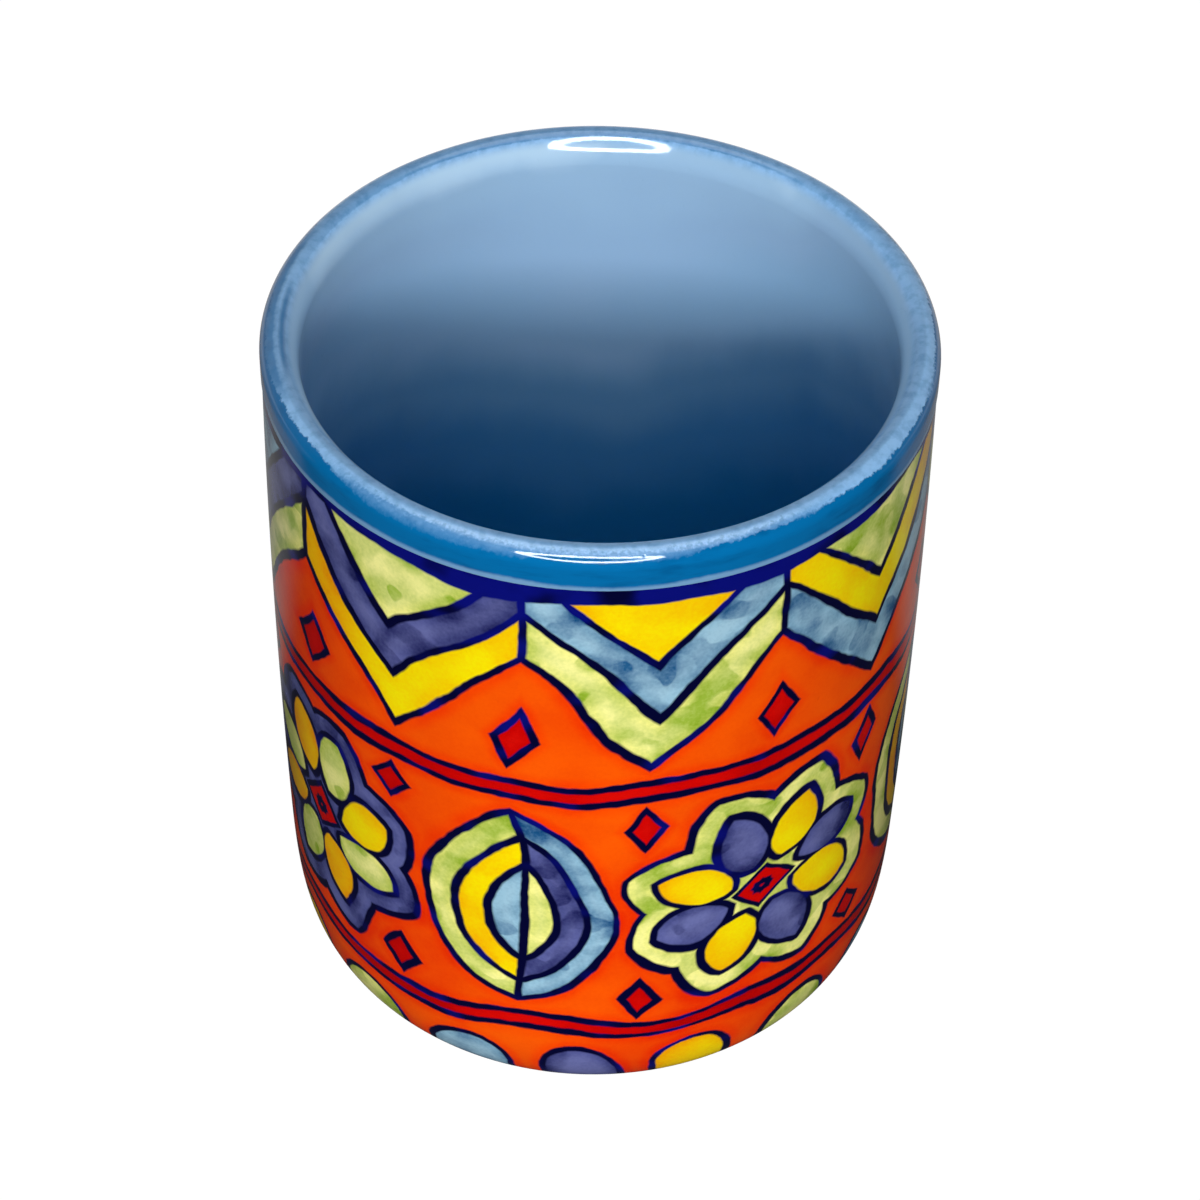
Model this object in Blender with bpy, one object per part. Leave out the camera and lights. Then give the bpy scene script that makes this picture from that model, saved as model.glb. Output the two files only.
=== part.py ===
"""A handleless mug: a turned clay pot and the glaze coats fired on it.

Metres, +Z up, standing on z = 0 with the pot's axis on Z. Every piece is a profile in the
radius-height plane, turned about Z with the same number of steps, so neighbouring skins
stay parallel.
"""

import math

import bmesh
import bpy

MM = 0.001

# The finished mug, over its glaze
RIM_RADIUS = 41.0 * MM
HEIGHT = 98.0 * MM

# The outside wall: a little narrower at the foot, a slight belly, and a heel that turns in
# along a superellipse, gently at first and then quickly near the table
FOOT_TAPER = 0.6 * MM
BELLY = 0.75 * MM
HEEL_HEIGHT = 22.0 * MM
HEEL_INSET = 8.2 * MM
HEEL_POWER = 4.0

# The clay
CLAY_LIP = 2.9 * MM
CLAY_WALL_AT_FLOOR = 3.0 * MM
CLAY_FLOOR = 4.0 * MM
COVE_RADIUS = 9.0 * MM
FOOT_SETBACK = 1.2 * MM
FOOT_WIDTH = 4.0 * MM
FOOT_CHAMFER = 0.35 * MM
RECESS_DEPTH = 2.0 * MM
RECESS_DRAFT = 1.0 * MM

# The coats, and the gap that each keeps to the clay and to the next coat
PAINTED_COAT = 0.35 * MM
RIM_COAT = 0.55 * MM
LINER_COAT = 0.35 * MM
BASE_COAT = 0.3 * MM
SEAT_GAP = 0.15 * MM
BEAD_DEPTH = 5.1 * MM
BEAD_ROLL = 1.2 * MM
SKIRT_DEPTH = 5.0 * MM
GLAZE_LINE = 0.9 * MM

# Facets
TURN_STEPS = 64
WALL_STEPS = 13
WALL_SPACING = 2.5
LIP_STEPS = 8
COVE_STEPS = 6
ROLL_STEPS = 4
SLOPE_PROBE = 0.01 * MM
MERGE_DISTANCE = 0.001 * MM
SHARP_ANGLE = math.radians(50)


def straight_radius(height):
    """Radius of the glazed wall with its taper and belly, as if it had no heel."""
    up = height / HEIGHT
    top_radius = RIM_RADIUS - (RIM_COAT - PAINTED_COAT)
    return top_radius - FOOT_TAPER * (1 - up) + BELLY * 4 * up * (1 - up)


def wall_radius(height):
    """Radius of the glazed wall with the heel turned in."""
    sunk = max(0.0, 1 - height / HEEL_HEIGHT)
    turned_in = 1 - (1 - sunk**HEEL_POWER) ** (1 / HEEL_POWER)
    return straight_radius(height) - HEEL_INSET * turned_in


def wall_point(height, depth):
    """The point at this height on the glazed wall, moved into the wall by depth."""
    rise = wall_radius(height + SLOPE_PROBE) - wall_radius(height - SLOPE_PROBE)
    slope = rise / (2 * SLOPE_PROBE)
    stretch = math.hypot(1, slope)
    return wall_radius(height) - depth / stretch, height + depth * slope / stretch


def wall_line(top, depth):
    """The wall from top down to the glaze line, with closer points where the heel turns in."""
    line = []
    for i in range(WALL_STEPS, -1, -1):
        share = (i / WALL_STEPS) ** WALL_SPACING
        line.append(wall_point(GLAZE_LINE + share * (top - GLAZE_LINE), depth))
    return line


def arc(centre, width, height, start, end, steps):
    """Points on an ellipse's arc from one angle to another, both ends included."""
    points = []
    for i in range(steps + 1):
        angle = start + (end - start) * i / steps
        points.append((centre[0] + width * math.cos(angle), centre[1] + height * math.sin(angle)))
    return points


# Heights and radii that more than one piece meets
CLAY_DEPTH = PAINTED_COAT + SEAT_GAP
LIP_HEIGHT = HEIGHT - RIM_COAT - SEAT_GAP - CLAY_LIP / 2
LIP_RADIUS = wall_radius(LIP_HEIGHT) - CLAY_DEPTH - CLAY_LIP / 2
LIP_CENTRE = (LIP_RADIUS, LIP_HEIGHT)
FLOOR_HEIGHT = RECESS_DEPTH + CLAY_FLOOR
INNER_AT_LIP = LIP_RADIUS - CLAY_LIP / 2
INNER_AT_FLOOR = straight_radius(FLOOR_HEIGHT) - CLAY_DEPTH - CLAY_WALL_AT_FLOOR
BEAD_FOOT = HEIGHT - BEAD_DEPTH
SKIRT_FOOT = HEIGHT - SKIRT_DEPTH
FOOT_OUTER = wall_point(GLAZE_LINE, CLAY_DEPTH)[0] - FOOT_SETBACK
FOOT_INNER = FOOT_OUTER - FOOT_WIDTH


def inner_radius(height, cover):
    """Radius of the clay's inside wall, less what covers it."""
    up = (height - FLOOR_HEIGHT) / (LIP_HEIGHT - FLOOR_HEIGHT)
    return INNER_AT_FLOOR + (INNER_AT_LIP - INNER_AT_FLOOR) * up - cover


def inside_line(cover):
    """The inside from the axis over the floor to the top of the cove, less what covers it."""
    floor = FLOOR_HEIGHT + cover
    radius = COVE_RADIUS - cover
    centre_height = FLOOR_HEIGHT + COVE_RADIUS
    centre = (inner_radius(centre_height, COVE_RADIUS), centre_height)
    return [(0.0, floor), *arc(centre, radius, radius, -math.pi / 2, 0.0, COVE_STEPS)]


def recess_radius(height):
    """Radius of the slanted side of the recess inside the foot ring."""
    return FOOT_INNER - RECESS_DRAFT * height / RECESS_DEPTH


def clay_profile():
    """The pot: inside floor and wall, round lip, outside wall, foot ring and recess."""
    lip = arc(LIP_CENTRE, CLAY_LIP / 2, CLAY_LIP / 2, math.pi, 0.0, LIP_STEPS)
    outside = wall_line(LIP_HEIGHT, CLAY_DEPTH)
    foot = [
        (FOOT_OUTER, FOOT_CHAMFER),
        (FOOT_OUTER - FOOT_CHAMFER, 0.0),
        (FOOT_INNER + FOOT_CHAMFER, 0.0),
        (recess_radius(FOOT_CHAMFER), FOOT_CHAMFER),
        (recess_radius(RECESS_DEPTH), RECESS_DEPTH),
        (0.0, RECESS_DEPTH),
    ]
    return inside_line(0.0) + lip + outside[1:] + foot


def painted_profile():
    """The painted skin on the outside wall, from under the rim bead to the glaze line."""
    top = BEAD_FOOT - SEAT_GAP
    return wall_line(top, 0.0) + wall_line(top, PAINTED_COAT)[::-1]


def rim_profile():
    """The rim bead: rolled lower edge, thick glaze over the lip, thin skirt inside."""
    back = CLAY_LIP / 2 + SEAT_GAP
    face = back + RIM_COAT
    roll_top = BEAD_FOOT + BEAD_ROLL
    roll_centre = (wall_radius(roll_top) - PAINTED_COAT, roll_top)
    roll = arc(roll_centre, RIM_COAT, BEAD_ROLL, -math.pi / 2, 0.0, ROLL_STEPS)
    over = arc(LIP_CENTRE, face, face, 0.0, math.pi, LIP_STEPS)
    skirt = [
        (inner_radius(SKIRT_FOOT, SEAT_GAP + LINER_COAT), SKIRT_FOOT),
        (inner_radius(SKIRT_FOOT, SEAT_GAP), SKIRT_FOOT),
    ]
    under = arc(LIP_CENTRE, back, back, math.pi, 0.0, LIP_STEPS)
    return roll + over + skirt + under


def liner_profile():
    """The liner: floor, cove and inside wall up to the rim's skirt."""
    top = SKIRT_FOOT - SEAT_GAP
    face = SEAT_GAP + LINER_COAT
    seat_line = [*inside_line(SEAT_GAP), (inner_radius(top, SEAT_GAP), top)]
    face_line = [*inside_line(face), (inner_radius(top, face), top)]
    return seat_line + face_line[::-1]


def base_profile():
    """The disc of glaze in the recess under the floor."""
    top = RECESS_DEPTH - SEAT_GAP
    bottom = top - BASE_COAT
    edge = [(recess_radius(height) - SEAT_GAP, height) for height in (top, bottom)]
    return [(0.0, top), *edge, (0.0, bottom)]


def turned(name, profile, material, parent):
    """Turns a closed profile, or one that starts and ends on the axis, into a solid."""
    mesh = bpy.data.meshes.new(name)
    bm = bmesh.new()
    verts = [bm.verts.new((radius, 0.0, height)) for radius, height in profile]
    edges = [bm.edges.new(pair) for pair in zip(verts, verts[1:])]
    if profile[0][0] > 0.0:
        edges.append(bm.edges.new((verts[-1], verts[0])))
    bmesh.ops.spin(
        bm,
        geom=verts + edges,
        cent=(0, 0, 0),
        axis=(0, 0, 1),
        angle=math.tau,
        steps=TURN_STEPS,
        use_merge=True,
    )
    bmesh.ops.remove_doubles(bm, verts=bm.verts, dist=MERGE_DISTANCE)
    bmesh.ops.recalc_face_normals(bm, faces=bm.faces)
    bm.to_mesh(mesh)
    bm.free()
    mesh.materials.append(material)
    mesh.shade_smooth()
    mesh.set_sharp_from_angle(angle=SHARP_ANGLE)
    piece = bpy.data.objects.new(name, mesh)
    bpy.context.collection.objects.link(piece)
    piece.parent = parent
    return piece


def finish(name, colour, roughness):
    """A fired surface: colour in linear light."""
    material = bpy.data.materials.new(name)
    material.use_nodes = True
    shader = material.node_tree.nodes["Principled BSDF"]
    shader.inputs["Base Color"].default_value = (*colour, 1.0)
    shader.inputs["Roughness"].default_value = roughness
    shader.inputs["Metallic"].default_value = 0.0
    return material


for old in list(bpy.data.objects):
    bpy.data.objects.remove(old, do_unlink=True)

mug = bpy.data.objects.new("mug", None)
bpy.context.collection.objects.link(mug)

bisque_clay = finish("bisque_clay", colour=(0.74, 0.66, 0.55), roughness=0.8)
painted_glaze = finish("painted_glaze", colour=(0.94, 0.07, 0.003), roughness=0.12)
rim_blue_glaze = finish("rim_blue_glaze", colour=(0.003, 0.13, 0.36), roughness=0.1)
liner_blue_glaze = finish("liner_blue_glaze", colour=(0.08, 0.18, 0.33), roughness=0.25)
clear_glaze = finish("clear_glaze", colour=(0.78, 0.73, 0.64), roughness=0.15)

turned("clay_body", clay_profile(), bisque_clay, mug)
turned("painted_coat", painted_profile(), painted_glaze, mug)
turned("rim_glaze", rim_profile(), rim_blue_glaze, mug)
turned("inner_glaze", liner_profile(), liner_blue_glaze, mug)
turned("base_glaze", base_profile(), clear_glaze, mug)
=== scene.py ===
"""The look of a handleless mug: a turned clay pot, a brushed frieze, blue glazes and a rolled rim.

Metres, +Z up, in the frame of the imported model. Profiles and patterns are written in millimetres.
"""

import math

import bmesh
import bpy
from mathutils import Matrix, Vector


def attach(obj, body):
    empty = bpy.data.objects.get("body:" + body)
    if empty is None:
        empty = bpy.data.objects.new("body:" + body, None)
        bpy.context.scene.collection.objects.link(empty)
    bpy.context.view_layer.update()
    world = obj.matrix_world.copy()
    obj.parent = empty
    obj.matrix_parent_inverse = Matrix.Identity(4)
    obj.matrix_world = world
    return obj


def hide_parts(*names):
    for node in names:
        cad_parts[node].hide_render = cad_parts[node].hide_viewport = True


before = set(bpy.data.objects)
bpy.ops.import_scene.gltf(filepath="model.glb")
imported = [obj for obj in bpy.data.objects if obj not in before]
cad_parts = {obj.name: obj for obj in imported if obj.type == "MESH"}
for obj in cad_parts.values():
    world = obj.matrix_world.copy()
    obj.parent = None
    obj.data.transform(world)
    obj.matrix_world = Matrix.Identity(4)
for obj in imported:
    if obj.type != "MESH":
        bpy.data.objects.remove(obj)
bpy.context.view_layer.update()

# Clay body
# The pot is white earthenware, turned to shape and fired once before it is painted. Glaze covers
# all of it but the foot ring, which is wiped dry so that the pot doesn't stick to the kiln shelf.
MM = 0.001
RIM_RADIUS = 41.0
HEIGHT = 98.0
FOOT_TAPER = 0.6
BELLY = 0.75
HEEL_HEIGHT = 22.0
HEEL_INSET = 8.2
HEEL_POWER = 4.0
PAINTED_COAT = 0.35
RIM_COAT = 0.55
LINER_COAT = 0.35
BASE_COAT = 0.3
SEAT_GAP = 0.15
GLAZE_LINE = 0.9
CLAY_LIP = 2.9
CLAY_WALL_AT_FLOOR = 3.0
CLAY_FLOOR = 4.0
COVE_RADIUS = 9.0
FOOT_SETBACK = 1.2
FOOT_WIDTH = 4.0
FOOT_ROUND = 0.45
RECESS_DEPTH = 2.0
RECESS_DRAFT = 1.0
WALL_STEPS = 40
WALL_SPACING = 2.2
TURN_STEPS = 192
ROUND_STEPS = 10
MERGE_DISTANCE = 0.001
SHARP_ANGLE = math.radians(50)
CLAY_PALE = (226, 214, 196)
CLAY_WORN = (196, 176, 150)
CLAY_SPECK = (150, 122, 92)
PATCH_EDGES = (0.35, 0.7)
SPECK_EDGES = (0.7, 0.78)
SPECK_SHARE = 0.7
GRAIN_EDGES = (0.45, 0.7)
GRAIN_SHARE = 0.5


def straight_radius(height):
    """Radius of the glazed wall with its taper and belly, as if it had no heel."""
    up = height / HEIGHT
    top_radius = RIM_RADIUS - (RIM_COAT - PAINTED_COAT)
    return top_radius - FOOT_TAPER * (1 - up) + BELLY * 4 * up * (1 - up)


def wall_radius(height):
    """Radius of the glazed wall with the heel turned in along a superellipse."""
    sunk = max(0.0, 1 - height / HEEL_HEIGHT)
    turned_in = 1 - (1 - sunk**HEEL_POWER) ** (1 / HEEL_POWER)
    return straight_radius(height) - HEEL_INSET * turned_in


def wall_line(top, depth):
    """The wall from top down to the glaze line, moved into the pot by depth."""
    line = []
    probe = 0.01
    for step in range(WALL_STEPS, -1, -1):
        height = GLAZE_LINE + (step / WALL_STEPS) ** WALL_SPACING * (top - GLAZE_LINE)
        slope = (wall_radius(height + probe) - wall_radius(height - probe)) / (2 * probe)
        stretch = math.hypot(1, slope)
        line.append((wall_radius(height) - depth / stretch, height + depth * slope / stretch))
    return line


def turned(name, profile, rounds, closed):
    """Turns a profile of (radius, height) points about Z. rounds gives corners their radius."""
    mesh = bpy.data.meshes.new(name)
    bm = bmesh.new()
    points = [bm.verts.new((radius * MM, 0.0, height * MM)) for radius, height in profile]
    for pair in zip(points, points[1:]):
        bm.edges.new(pair)
    if closed:
        bm.edges.new((points[-1], points[0]))
    for place, radius in rounds.items():
        bmesh.ops.bevel(
            bm,
            geom=[points[place]],
            offset=radius * MM,
            affect="VERTICES",
            segments=ROUND_STEPS,
            profile=0.5,
            material=-1,
        )
    bmesh.ops.spin(
        bm,
        geom=bm.verts[:] + bm.edges[:],
        cent=(0, 0, 0),
        axis=(0, 0, 1),
        angle=math.tau,
        steps=TURN_STEPS,
        use_merge=True,
    )
    bmesh.ops.remove_doubles(bm, verts=bm.verts, dist=MERGE_DISTANCE * MM)
    bmesh.ops.recalc_face_normals(bm, faces=bm.faces)
    bm.to_mesh(mesh)
    bm.free()
    mesh.shade_smooth()
    mesh.set_sharp_from_angle(angle=SHARP_ANGLE)
    piece = bpy.data.objects.new(name, mesh)
    bpy.context.scene.collection.objects.link(piece)
    return piece


def srgb(red, green, blue):
    """A screen colour from 0 to 255 as linear light."""
    levels = [level / 255 for level in (red, green, blue)]
    linear = [v / 12.92 if v <= 0.04045 else ((v + 0.055) / 1.055) ** 2.4 for v in levels]
    return (*linear, 1.0)


class Field:
    """A value that changes over the surface. Arithmetic on it lays out math nodes."""

    def __init__(self, tree, socket):
        self.tree = tree
        self.socket = socket

    def math(self, operation, *others, clamp=False):
        node = self.tree.nodes.new("ShaderNodeMath")
        node.operation = operation
        node.use_clamp = clamp
        for value, socket in zip((self, *others), node.inputs):
            plug(self.tree, value, socket)
        return Field(self.tree, node.outputs[0])

    def __add__(self, other):
        return self.math("ADD", other)

    def __sub__(self, other):
        return self.math("SUBTRACT", other)

    def __mul__(self, other):
        return self.math("MULTIPLY", other)

    def __truediv__(self, other):
        return self.math("DIVIDE", other)

    def __abs__(self):
        return self.math("ABSOLUTE")

    def ramp(self, low, high):
        """0 at low, 1 at high, with soft ends."""
        node = self.tree.nodes.new("ShaderNodeMapRange")
        node.interpolation_type = "SMOOTHSTEP"
        plug(self.tree, self, node.inputs["Value"])
        node.inputs["From Min"].default_value = low
        node.inputs["From Max"].default_value = high
        return Field(self.tree, node.outputs["Result"])


def plug(tree, value, socket):
    """Feeds a socket from a field or from another socket, or sets a plain value on it."""
    if isinstance(value, Field):
        value = value.socket
    if isinstance(value, bpy.types.NodeSocket):
        tree.links.new(value, socket)
    else:
        socket.default_value = value


def blend(tree, below, above, share):
    """Lays one colour over another."""
    node = tree.nodes.new("ShaderNodeMix")
    node.data_type = "RGBA"
    plug(tree, share, node.inputs[0])
    plug(tree, below, node.inputs[6])
    plug(tree, above, node.inputs[7])
    return node.outputs[2]


def place_in_mm(tree):
    """Where a point is on the mug, in millimetres."""
    coordinates = tree.nodes.new("ShaderNodeTexCoord")
    scale = tree.nodes.new("ShaderNodeVectorMath")
    scale.operation = "SCALE"
    scale.inputs["Scale"].default_value = 1 / MM
    tree.links.new(coordinates.outputs["Object"], scale.inputs[0])
    return scale.outputs[0]


def stretched(tree, place, along, up):
    """The place divided by a length along the table and a length up the wall."""
    node = tree.nodes.new("ShaderNodeVectorMath")
    node.operation = "MULTIPLY"
    tree.links.new(place, node.inputs[0])
    node.inputs[1].default_value = (1 / along, 1 / along, 1 / up)
    return node.outputs[0]


def noise(tree, place, size, detail=2.0, roughness=0.5, output="Fac"):
    """Soft random cloud with spots of this size, about 0.5 on average."""
    node = tree.nodes.new("ShaderNodeTexNoise")
    tree.links.new(place, node.inputs["Vector"])
    node.inputs["Scale"].default_value = 1 / size
    node.inputs["Detail"].default_value = detail
    node.inputs["Roughness"].default_value = roughness
    return Field(tree, node.outputs[output])


def surface(name, roughness, specular):
    """A new material, with its tree, its shader and the place on the mug."""
    material = bpy.data.materials.new(name)
    material.use_nodes = True
    tree = material.node_tree
    shader = tree.nodes["Principled BSDF"]
    shader.inputs["Roughness"].default_value = roughness
    shader.inputs["Specular IOR Level"].default_value = specular
    return material, tree, shader, place_in_mm(tree)


def relief(tree, shader, height, depth):
    """Raises the surface by a height field, by up to this many millimetres."""
    bump = tree.nodes.new("ShaderNodeBump")
    bump.inputs["Distance"].default_value = depth * MM
    plug(tree, height, bump.inputs["Height"])
    tree.links.new(bump.outputs["Normal"], shader.inputs["Normal"])


def put_on(piece, material, node):
    """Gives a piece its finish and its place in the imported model."""
    piece.data.materials.append(material)
    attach(piece, "root")
    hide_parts(node)


clay_depth = PAINTED_COAT + SEAT_GAP
lip_round = CLAY_LIP / 2 + SEAT_GAP + RIM_COAT
lip_height = HEIGHT - lip_round
lip_radius = wall_radius(lip_height) - clay_depth - CLAY_LIP / 2
lip_top = lip_height + CLAY_LIP / 2
floor_height = RECESS_DEPTH + CLAY_FLOOR
inner_at_lip = lip_radius - CLAY_LIP / 2
inner_at_floor = straight_radius(floor_height) - clay_depth - CLAY_WALL_AT_FLOOR
foot_outer = wall_line(lip_height, clay_depth)[-1][0] - FOOT_SETBACK
foot_inner = foot_outer - FOOT_WIDTH
recess_inner = foot_inner - RECESS_DRAFT

clay_profile = [
    (0.0, floor_height),
    (inner_at_floor, floor_height),
    (inner_at_lip, lip_top),
    (lip_radius + CLAY_LIP / 2, lip_top),
    *wall_line(lip_height - CLAY_LIP, clay_depth),
    (foot_outer, 0.0),
    (foot_inner, 0.0),
    (recess_inner, RECESS_DEPTH),
    (0.0, RECESS_DEPTH),
]
last = len(clay_profile) - 1
clay_rounds = {
    1: COVE_RADIUS,
    2: CLAY_LIP / 2,
    3: CLAY_LIP / 2,
    last - 3: FOOT_ROUND,
    last - 2: FOOT_ROUND,
    last - 1: FOOT_ROUND,
}
clay_body = turned("clay_body_bisque", clay_profile, clay_rounds, closed=False)

bisque, tree, shader, place = surface("bisque_clay", roughness=0.85, specular=0.3)
grain = noise(tree, place, size=0.35, detail=4.0, roughness=0.65)
patches = noise(tree, place, size=9.0, detail=3.0)
specks = noise(tree, place, size=0.8, detail=1.0)
colour = blend(tree, srgb(*CLAY_PALE), srgb(*CLAY_WORN), patches.ramp(*PATCH_EDGES))
colour = blend(tree, colour, srgb(*CLAY_SPECK), specks.ramp(*SPECK_EDGES) * SPECK_SHARE)
colour = blend(tree, colour, srgb(*CLAY_WORN), grain.ramp(*GRAIN_EDGES) * GRAIN_SHARE)
plug(tree, colour, shader.inputs["Base Color"])
relief(tree, shader, grain, depth=0.12)
put_on(clay_body, bisque, "clay_body")

# Painted wall
# Underglaze colours brushed on the bisque by hand, outlined in navy with a fine brush, then a
# clear glaze over all. The frieze is rows of pennants, stripes, rosettes with leaves, and tongues.
PAINT_TOP = 94.0
WALL_ROUND = 41.2
EDGE_ROUND = 0.15
HEEL_SHARE = 0.6
CLIMB_FROM = 19.0
CLIMB_TO = 120.0
ROW_GAP = 0.008
ROW_TALL = 0.464
ROW_PITCH = 0.48
HIDDEN_ROW = 0.966
HIDDEN_TALL = 0.026
INK_SOFTNESS = 0.3
SWELL = 0.8
PEEL = 0.12
PINHOLE = 0.12
PINHOLE_EDGES = (0.78, 0.84)
HAZE_EDGES = (0.3, 0.75)

painted_profile = wall_line(PAINT_TOP, 0.0) + wall_line(PAINT_TOP, PAINTED_COAT)[::-1]
painted_rounds = {WALL_STEPS: EDGE_ROUND, WALL_STEPS + 1: EDGE_ROUND}
painted_wall = turned("painted_wall", painted_profile, painted_rounds, closed=True)


def unroll(piece):
    """Lays the wall flat for baking: each half turn in a row, and the hidden back in a strip."""
    flat = piece.data.uv_layers.new(name="OFBake")
    for face in piece.data.polygons:
        middle = face.center.xy
        bearing = math.atan2(middle.y, middle.x)
        half = 0 if bearing > 0 else 1
        hidden = face.normal.xy.dot(middle) < 0
        for corner in face.loop_indices:
            point = piece.data.vertices[piece.data.loops[corner].vertex_index].co
            turn = bearing % math.pi - middle.angle_signed(point.xy)
            climb = (point.z + point.xy.length * HEEL_SHARE) / MM
            rise = (climb - CLIMB_FROM) / (CLIMB_TO - CLIMB_FROM)
            if hidden:
                flat.data[corner].uv = ((half + turn / math.pi) / 2, HIDDEN_ROW + HIDDEN_TALL * rise)
            else:
                flat.data[corner].uv = (turn / math.pi, ROW_GAP + half * ROW_PITCH + ROW_TALL * rise)


unroll(painted_wall)


def glaze_skin_group():
    """The skin of a fired glaze: a slow swell, fine orange peel and a few pinholes."""
    group = bpy.data.node_groups.new("glaze_skin", "ShaderNodeTree")
    group.interface.new_socket("Place", in_out="INPUT", socket_type="NodeSocketVector")
    group.interface.new_socket("Height", in_out="OUTPUT", socket_type="NodeSocketFloat")
    group.interface.new_socket("Haze", in_out="OUTPUT", socket_type="NodeSocketFloat")
    start = group.nodes.new("NodeGroupInput")
    end = group.nodes.new("NodeGroupOutput")
    place = start.outputs["Place"]
    swell = noise(group, place, size=16.0, detail=1.0)
    peel = noise(group, place, size=1.7, detail=2.0)
    pinholes = noise(group, place, size=0.9, detail=0.0).ramp(*PINHOLE_EDGES)
    haze = noise(group, place, size=9.0, detail=0.0)
    plug(group, swell * SWELL + peel * PEEL - pinholes * PINHOLE, end.inputs["Height"])
    plug(group, haze.ramp(*HAZE_EDGES), end.inputs["Haze"])
    return group


def glazed(tree, shader, place, depth, gloss, dull):
    """Puts the glaze skin on a material, with its roughness between gloss and dull."""
    skin = tree.nodes.new("ShaderNodeGroup")
    skin.node_tree = glaze_skin
    tree.links.new(place, skin.inputs["Place"])
    relief(tree, shader, skin.outputs["Height"], depth)
    haze = Field(tree, skin.outputs["Haze"])
    plug(tree, haze * (dull - gloss) + gloss, shader.inputs["Roughness"])


def inside(distance, softness=INK_SOFTNESS):
    """1 where a distance is below 0, with an edge this soft."""
    return distance.math("MULTIPLY_ADD", -1 / softness, 0.5, clamp=True)


def repeat(distance, pitch):
    """Distance from the middle of the nearest cell, and the cell's number."""
    cells = distance / pitch
    return (cells.math("FRACT") - 0.5) * pitch, cells.math("FLOOR")


def every(number, count, turn):
    """1 in every count-th cell, starting from this one."""
    return abs(number.math("FLOORED_MODULO", count) - turn).math("LESS_THAN", 0.5)


def lens(across, along, half_width, half_length):
    """Distance to a pointed leaf shape between two arcs."""
    bow = (half_length**2 + half_width**2) / (2 * half_width)
    return hypotenuse(abs(across) + (bow - half_width), along) - bow


def hypotenuse(first, second):
    """Distance over two lengths at right angles."""
    return (first * first + second * second).math("SQRT")


def diamond(across, along, half_sizes):
    """Distance to an upright diamond."""
    return (abs(across) / half_sizes[0] + abs(along) / half_sizes[1] - 1.0) * half_sizes[0]


def band(height, low, high):
    """Distance to a stripe between two heights."""
    return abs(height - (low + high) / 2) - (high - low) / 2


glaze_skin = glaze_skin_group()
painted, tree, shader, place = surface("painted_glaze", roughness=0.12, specular=0.17)

# The frieze is laid out along the wall and up it, by a hand that sways and shakes
FRIEZE_SHIFT = 9.0
SWAY_SIZE = 15.0
SWAY = 4.0
SHAKE_SIZE = 2.6
SHAKE = 0.55

sway = tree.nodes.new("ShaderNodeSeparateXYZ")
tree.links.new(noise(tree, place, SWAY_SIZE, 0.0, output="Color").socket, sway.inputs[0])
shake = tree.nodes.new("ShaderNodeSeparateXYZ")
tree.links.new(noise(tree, place, SHAKE_SIZE, 1.0, output="Color").socket, shake.inputs[0])
axes = tree.nodes.new("ShaderNodeSeparateXYZ")
tree.links.new(place, axes.inputs[0])
right, back, height = (Field(tree, output) for output in axes.outputs)
sway_along, sway_up, press = (Field(tree, output) - 0.5 for output in sway.outputs)
shake_along, shake_up, quiver = (Field(tree, output) - 0.5 for output in shake.outputs)
turn = right.math("ARCTAN2", back * -1.0)
along = turn * WALL_ROUND + FRIEZE_SHIFT + sway_along * SWAY + shake_along * SHAKE
up = height + sway_up * SWAY + shake_up * SHAKE
girth = math.tau * WALL_ROUND

# Some pigments lie smooth, and the watery ones show where one stroke dried before the next
PIGMENTS = {
    "orange": ((255, 92, 2), (240, 62, 1)),
    "red": ((222, 14, 6), (188, 3, 1)),
    "yellow": ((255, 236, 4), (250, 166, 2)),
    "green": ((255, 252, 160), (158, 188, 62)),
    "blue": ((164, 204, 224), (38, 94, 142)),
    "violet": ((108, 114, 172), (44, 48, 104)),
}
SMOOTH_PIGMENTS = ("orange", "red", "yellow")
DRIFT_SIZE = 22.0
DRIFT_EDGES = (0.34, 0.66)
CLOUD_SIZE = (7.0, 5.6)
CLOUD_EDGES = (0.34, 0.68)
WASH_GRAIN_SIZE = 0.5
STROKE_SIZE = (4.6, 4.2)
STROKE_LEVEL = 0.55
STROKE_EDGE_SIZE = 4.0
STROKE_EDGE_VARIES = (0.38, 0.6)
STROKE_EDGE_CRISP = 0.03
STROKE_EDGE_SPREAD = 0.17
SOFT_DRIFTS = 0.62
SOFT_CLOUDS = 0.3
SOFT_GRAIN = 0.4
SOFT_LEAST = 0.04
WET_CLOUDS = 0.56
WET_LAPS = 0.4
WET_GRAIN = 0.45
WET_LEAST = 0.02

wash_drift = noise(tree, place, DRIFT_SIZE, 0.0)
wash_clouds = noise(tree, stretched(tree, place, *CLOUD_SIZE), 1.0, 1.5)
wash_grain = noise(tree, place, WASH_GRAIN_SIZE, 2.0) - 0.5
stroke_depth = noise(tree, stretched(tree, place, *STROKE_SIZE), 1.0, 0.8) - STROKE_LEVEL
edge_noise = noise(tree, place, STROKE_EDGE_SIZE, 0.0)
stroke_edge = edge_noise.ramp(*STROKE_EDGE_VARIES) * STROKE_EDGE_SPREAD + STROKE_EDGE_CRISP
stroke_laps = (stroke_depth / stroke_edge).math("ADD", 0.5, clamp=True)
soft_wash = wash_drift.ramp(*DRIFT_EDGES) * SOFT_DRIFTS + wash_clouds.ramp(*CLOUD_EDGES) * SOFT_CLOUDS
soft_wash = soft_wash + wash_grain * SOFT_GRAIN + SOFT_LEAST
wet_wash = wash_clouds.ramp(*CLOUD_EDGES) * WET_CLOUDS + stroke_laps * WET_LAPS
wet_wash = wet_wash + wash_grain * WET_GRAIN + WET_LEAST
pigment = {}
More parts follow.
